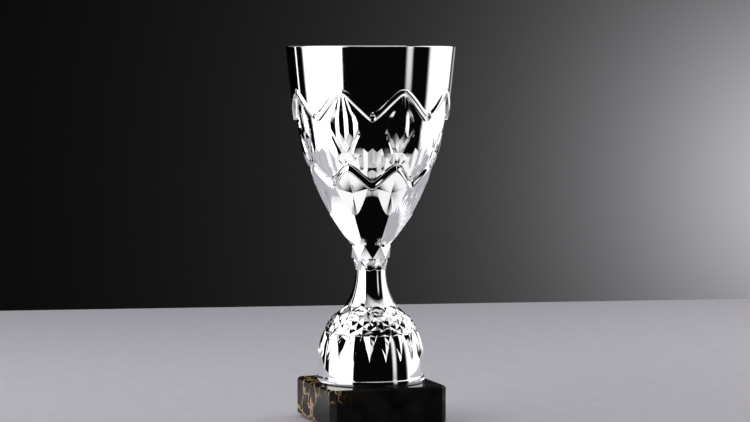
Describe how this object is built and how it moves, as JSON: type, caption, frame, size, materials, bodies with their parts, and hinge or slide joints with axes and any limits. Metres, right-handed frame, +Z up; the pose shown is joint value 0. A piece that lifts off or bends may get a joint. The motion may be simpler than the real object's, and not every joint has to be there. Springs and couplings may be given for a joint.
{
  "type": "cup trophy",
  "caption": "Silver crystal-cut trophy cup on a faceted collar and bell foot, bolted to a square black marble plinth; an open bowl to hold up as an award.",
  "frame": {"origin": "centre of the underside, on the surface that the felt pads stand on", "axes": "+Z up the stud, from the plinth to the rim; X and Y along the plinth's sides; the pictured face looks between -Y and -X"},
  "size_m": [0.1124, 0.1124, 0.2487],
  "materials": {
    "bright_silver": "mirror-bright vacuum-metallised plastic",
    "black_marble": "polished black marble with gold and brown veins",
    "zinc_steel": "bright zinc-plated steel",
    "green_felt": "dark green felt"
  },
  "bodies": {
    "root": {"bowl": "bright_silver", "collar": "bright_silver", "foot": "bright_silver", "plinth": "black_marble", "stud": "zinc_steel", "bowl_washer": "zinc_steel", "bowl_nut": "zinc_steel", "plinth_washer": "zinc_steel", "spring_washer": "zinc_steel", "plinth_nut": "zinc_steel", "felt_pads": "green_felt"}
  },
  "joints": []
}
